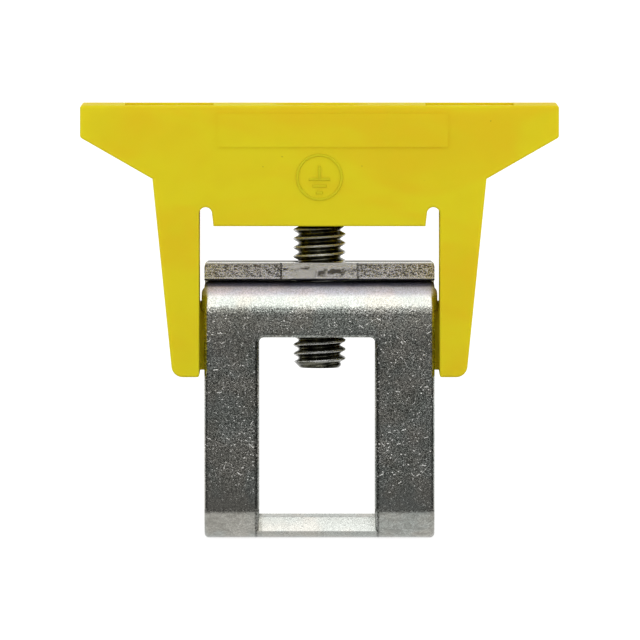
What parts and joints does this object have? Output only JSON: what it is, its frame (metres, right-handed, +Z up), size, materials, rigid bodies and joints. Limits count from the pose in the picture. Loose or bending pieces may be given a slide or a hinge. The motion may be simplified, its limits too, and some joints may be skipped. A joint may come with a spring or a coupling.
{
  "type": "busbar earth terminal",
  "caption": "Screw clamp that hangs on a square busbar and holds an earth wire under it: folded steel yoke, captive screw and yellow cap.",
  "frame": {"origin": "centre of the yoke's bottom face", "axes": "+Z up along the screw, from the yoke's floor to the cap; X across the yoke, along the conductor; Y along the busbar, with the front at -Y"},
  "size_m": [0.027, 0.0069, 0.0245],
  "materials": {
    "yoke": "zinc-plated steel strip, fine speckled satin",
    "clamping_screw": "dark olive passivated steel",
    "cap": "yellow polyamide, slightly translucent, satin"
  },
  "bodies": {
    "yoke": {"yoke": "yoke"},
    "cap": {"cap": "cap"},
    "screw": {"clamping_screw": "clamping_screw"}
  },
  "joints": [
    {"name": "cap_slide", "type": "slide", "parent": "yoke", "child": "cap", "axis": [0, 0, 1], "range_m": [-0.00205, 0.00015]},
    {"name": "screw_turn", "type": "hinge", "parent": "cap", "child": "screw", "pos_m": [0, 0, 0.0145], "axis": [0, 0, 1], "range_deg": [-1476.1, 108.1]}
  ],
  "couplings": [
    {"joint": "screw_turn", "follows": "cap_slide", "rad_per_m": 12566}
  ]
}
